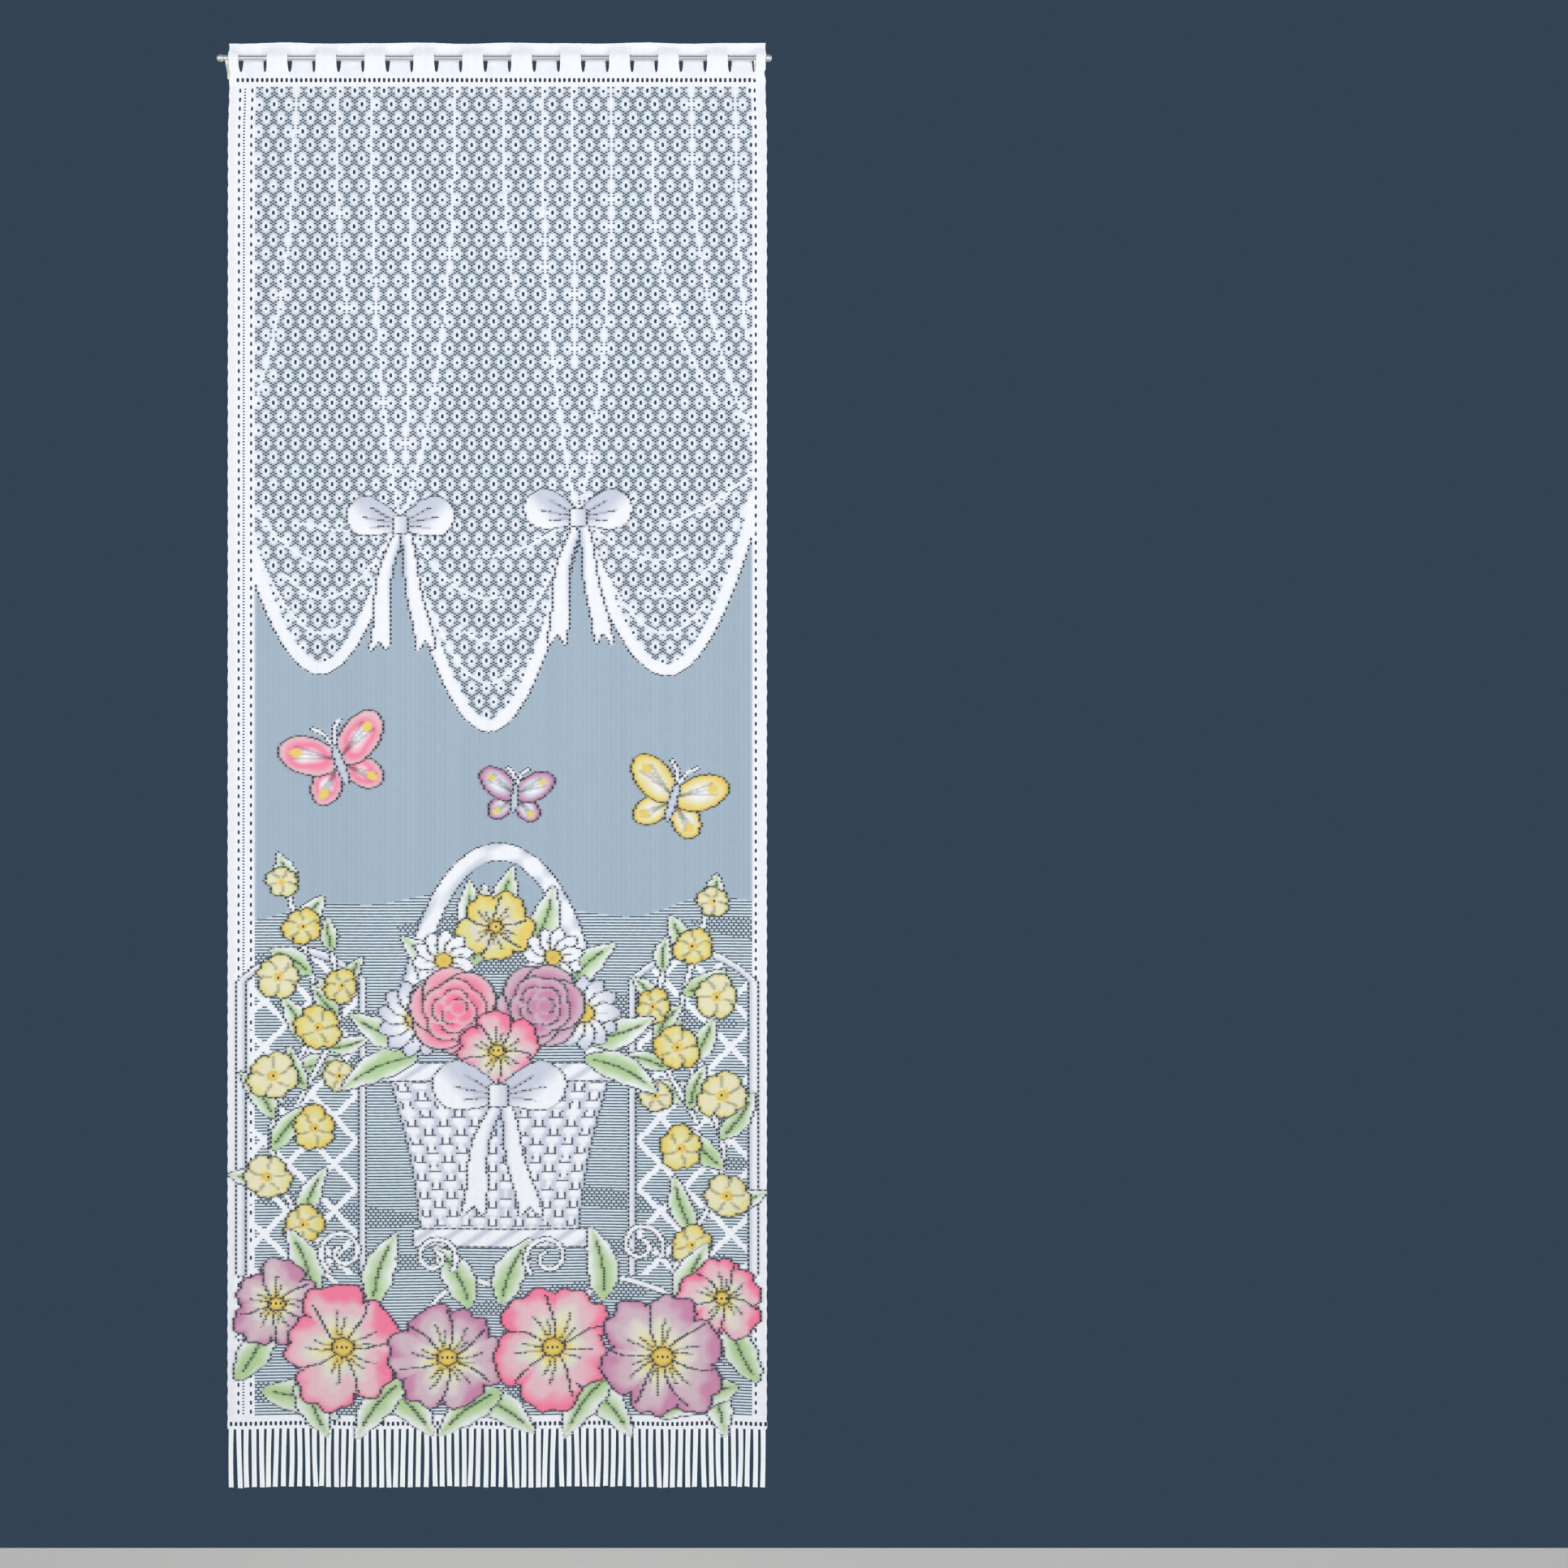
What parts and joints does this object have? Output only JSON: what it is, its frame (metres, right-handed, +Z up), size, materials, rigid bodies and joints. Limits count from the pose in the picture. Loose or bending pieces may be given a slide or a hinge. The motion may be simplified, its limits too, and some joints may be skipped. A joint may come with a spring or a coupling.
{
  "type": "cafe curtain on a slim rod",
  "caption": "Sheer knitted lace cafe curtain, its slotted heading woven on a slim metal rod with ball finials and small brackets, with a strand fringe along the hem.",
  "frame": {"origin": "on the mounting plane behind the brackets, level with the rod's axis and midway along the rod", "axes": "+Z up, -Y out of the cloth's face towards the room, +X to the right as the cloth is seen"},
  "size_m": [0.6178, 0.0206, 1.608],
  "materials": {
    "knit": "white knitted polyester lace with soft coloured motifs",
    "rod_metal": "satin nickel",
    "bracket_plastic": "cream moulded plastic"
  },
  "bodies": {
    "root": {"heading": "knit", "panel": "knit", "fringe": "knit", "rod": "rod_metal", "finial_left": "rod_metal", "finial_right": "rod_metal", "bracket_left": "bracket_plastic", "bracket_right": "bracket_plastic"}
  },
  "joints": []
}
